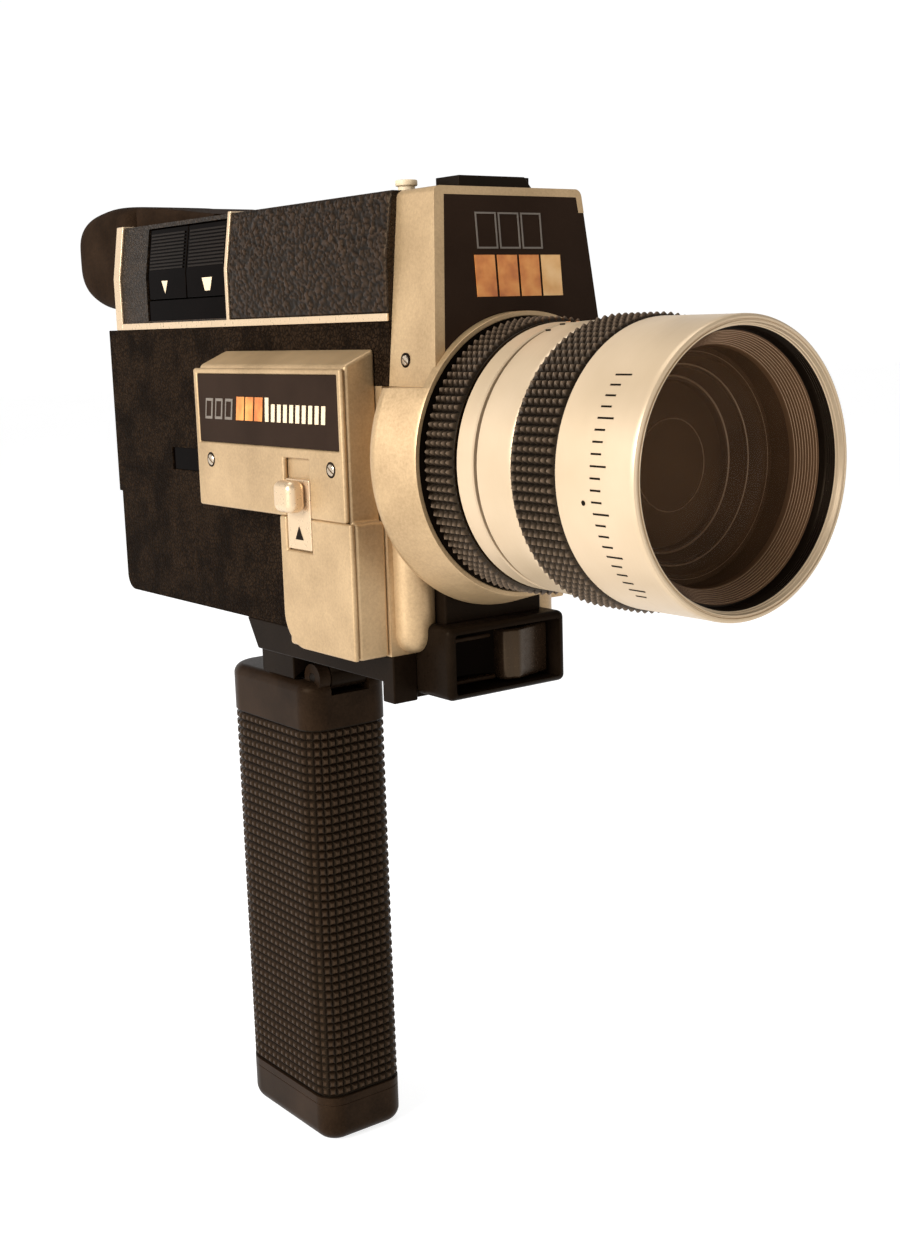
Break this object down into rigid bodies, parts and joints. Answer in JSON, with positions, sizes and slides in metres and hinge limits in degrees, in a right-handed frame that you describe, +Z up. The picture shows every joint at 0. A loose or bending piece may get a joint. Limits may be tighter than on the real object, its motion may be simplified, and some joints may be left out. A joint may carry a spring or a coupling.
{
  "type": "cine camera",
  "caption": "Hand-held cine camera with knurled zoom lens, box body, reflex finder with rubber eyecup, side film door and folding pistol grip.",
  "frame": {"origin": "centre of the mouth of the tripod socket, under the body ahead of the grip", "axes": "+Z up, the lens looks along -Y, +X is the operator's left, the side with the film door"},
  "size_m": [0.0773, 0.2714, 0.2744],
  "materials": {
    "silver": "satin",
    "barrel_silver": "satin",
    "black_metal": "satin",
    "black_ring": "matte",
    "black_plastic": "matte",
    "gloss_black": "gloss",
    "leather": "pebbled satin",
    "rubber": "matte",
    "glass": "coated",
    "steel": "satin",
    "cream": "gloss",
    "cell_wrap": "satin"
  },
  "bodies": {
    "camera_body": {"lens_tube": "black_metal", "index_collar": "barrel_silver", "relay_lens": "glass", "lens_flange": "silver", "front_panel": "gloss_black", "finder_housing": "silver", "front_casting": "silver", "trigger_housing": "black_plastic", "side_housing": "silver", "upper_cover": "silver", "side_nameplate": "gloss_black", "lower_cover": "silver", "cover_screws": "steel", "left_cover": "silver", "body_shell": "leather", "counter_window": "glass", "film_gate": "steel", "shutter_motor": "steel", "winding_motor": "steel", "door_hinge": "steel", "upper_body": "leather", "body_trim": "silver", "rear_trim": "silver", "key_sill": "gloss_black", "accessory_shoe": "black_metal", "eyepiece_tube": "black_plastic", "eyepiece_lens": "glass", "eyepiece_hood": "black_plastic", "eyecup": "rubber", "base_block": "black_plastic", "tripod_bush": "steel"},
    "zoom_ring": {"zoom_ring": "black_ring"},
    "variator": {"variator_cell": "black_metal", "variator_lens": "glass"},
    "helicoid": {"helicoid_carrier": "black_metal"},
    "focus_barrel": {"focus_sleeve": "black_metal", "focus_ring": "black_ring", "focus_collar": "barrel_silver", "front_barrel": "barrel_silver", "front_cell": "black_metal", "front_element": "glass"},
    "trigger": {"trigger": "gloss_black"},
    "run_lever": {"run_lever": "silver"},
    "exposure_dial": {"exposure_dial": "black_plastic"},
    "speed_dial": {"speed_dial": "black_plastic"},
    "shutter": {"shutter_disc": "black_metal"},
    "takeup_spindle": {"takeup_spindle": "black_plastic"},
    "film_door": {"film_door": "leather", "cartridge_spring": "steel"},
    "door_latch": {"door_latch": "steel"},
    "wide_key": {"wide_key": "gloss_black"},
    "tele_key": {"tele_key": "gloss_black"},
    "top_button": {"top_button": "cream"},
    "dioptre_knob": {"dioptre_knob": "black_plastic"},
    "grip": {"grip_block": "black_plastic", "grip_pin": "steel", "grip_sleeve": "rubber", "grip_shell": "black_plastic", "battery_cells": "cell_wrap"},
    "battery_cap": {"battery_cap": "black_plastic"}
  },
  "joints": [
    {"name": "focus_travel", "type": "slide", "parent": "camera_body", "child": "helicoid", "axis": [0, -1, 0], "range_m": [0, 0.003]},
    {"name": "focus_turn", "type": "hinge", "parent": "helicoid", "child": "focus_barrel", "pos_m": [0, -0.125, 0.06], "axis": [0, 1, 0], "range_deg": [0, 180]},
    {"name": "zoom_turn", "type": "hinge", "parent": "camera_body", "child": "zoom_ring", "pos_m": [0, -0.0623, 0.06], "axis": [0, 1, 0], "range_deg": [0, 100]},
    {"name": "zoom_travel", "type": "slide", "parent": "camera_body", "child": "variator", "axis": [0, 1, 0], "range_m": [0, 0.018]},
    {"name": "trigger_press", "type": "slide", "parent": "camera_body", "child": "trigger", "axis": [0, 1, 0], "range_m": [0, 0.003], "stiffness_N_per_m": 900, "springref_m": -0.001},
    {"name": "run_lever_slide", "type": "slide", "parent": "camera_body", "child": "run_lever", "axis": [0, 0, 1], "range_m": [0, 0.0048]},
    {"name": "exposure_dial_turn", "type": "hinge", "parent": "camera_body", "child": "exposure_dial", "pos_m": [0.03, -0.006, 0.066], "axis": [1, 0, 0], "range_deg": [0, 270]},
    {"name": "speed_dial_turn", "type": "hinge", "parent": "camera_body", "child": "speed_dial", "pos_m": [0.03, -0.006, 0.04], "axis": [1, 0, 0], "range_deg": [0, 150]},
    {"name": "shutter_turn", "type": "hinge", "parent": "camera_body", "child": "shutter", "pos_m": [0, 0.014, 0.042], "axis": [0, 1, 0], "continuous": true},
    {"name": "takeup_turn", "type": "hinge", "parent": "camera_body", "child": "takeup_spindle", "pos_m": [-0.01, 0.065, 0.053], "axis": [1, 0, 0], "continuous": true},
    {"name": "film_door_hinge", "type": "hinge", "parent": "camera_body", "child": "film_door", "pos_m": [0.027, 0.1058, 0.055], "axis": [0, 0, 1], "range_deg": [0, 100]},
    {"name": "door_latch_turn", "type": "hinge", "parent": "film_door", "child": "door_latch", "pos_m": [0.026, 0.032, 0.053], "axis": [1, 0, 0], "range_deg": [0, 90]},
    {"name": "wide_key_press", "type": "slide", "parent": "camera_body", "child": "wide_key", "axis": [1, 0, 0], "range_m": [0, 0.0015], "stiffness_N_per_m": 1200, "springref_m": -0.0005},
    {"name": "tele_key_press", "type": "slide", "parent": "camera_body", "child": "tele_key", "axis": [1, 0, 0], "range_m": [0, 0.0015], "stiffness_N_per_m": 1200, "springref_m": -0.0005},
    {"name": "top_button_press", "type": "slide", "parent": "camera_body", "child": "top_button", "axis": [0, 0, -1], "range_m": [0, 0.0011], "stiffness_N_per_m": 1000, "springref_m": -0.0005},
    {"name": "dioptre_turn", "type": "hinge", "parent": "camera_body", "child": "dioptre_knob", "pos_m": [0.026, 0.09, 0.108], "axis": [1, 0, 0], "range_deg": [-150, 150]},
    {"name": "grip_fold", "type": "hinge", "parent": "camera_body", "child": "grip", "pos_m": [0, 0.029, -0.0055], "axis": [-1, 0, 0], "range_deg": [0, 90]},
    {"name": "battery_cap_pull", "type": "slide", "parent": "grip", "child": "battery_cap", "axis": [0, 0, -1], "range_m": [0, 0.02]}
  ],
  "couplings": [
    {"joint": "focus_travel", "follows": "focus_turn", "m_per_rad": 0.00095493},
    {"joint": "zoom_travel", "follows": "zoom_turn", "m_per_rad": 0.010313}
  ]
}
